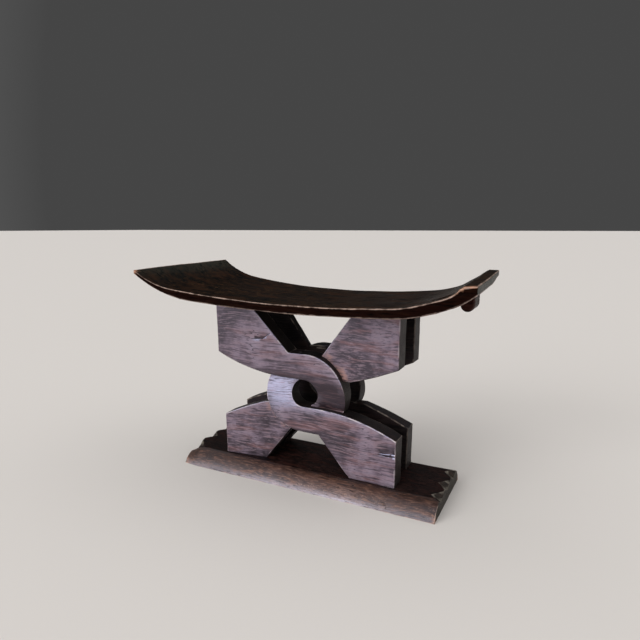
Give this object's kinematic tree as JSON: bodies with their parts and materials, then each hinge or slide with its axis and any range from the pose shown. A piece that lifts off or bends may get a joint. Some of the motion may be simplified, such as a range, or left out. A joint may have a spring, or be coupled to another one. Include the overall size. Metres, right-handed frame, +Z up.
{
  "type": "carved stool",
  "caption": "Low carved wooden stool: curved saddle seat with lugs under its ends, on two parallel open knot layers of interlaced strands, over a flat plank base with notched ends.",
  "frame": {"origin": "centre of the base plank's underside, on the surface that the stool stands on", "axes": "+X along the seat's length, to the right as seen from the front; -Y is the front, where the upper hook arm comes from the left; +Z up"},
  "size_m": [0.52, 0.227, 0.3366],
  "materials": {
    "seat_wood": "dark semi-gloss stain, worn at the edges",
    "arm_wood": "dark satin stain",
    "base_wood": "dark satin stain, worn at the corners"
  },
  "bodies": {
    "root": {"saddle_seat": "seat_wood", "left_seat_lug": "seat_wood", "right_seat_lug": "seat_wood", "front_upper_hook_arm": "arm_wood", "front_lower_hook_arm": "arm_wood", "front_upper_short_arm": "arm_wood", "front_lower_short_arm": "arm_wood", "rear_upper_hook_arm": "arm_wood", "rear_lower_hook_arm": "arm_wood", "rear_upper_short_arm": "arm_wood", "rear_lower_short_arm": "arm_wood", "base_plank": "base_wood"}
  },
  "joints": []
}
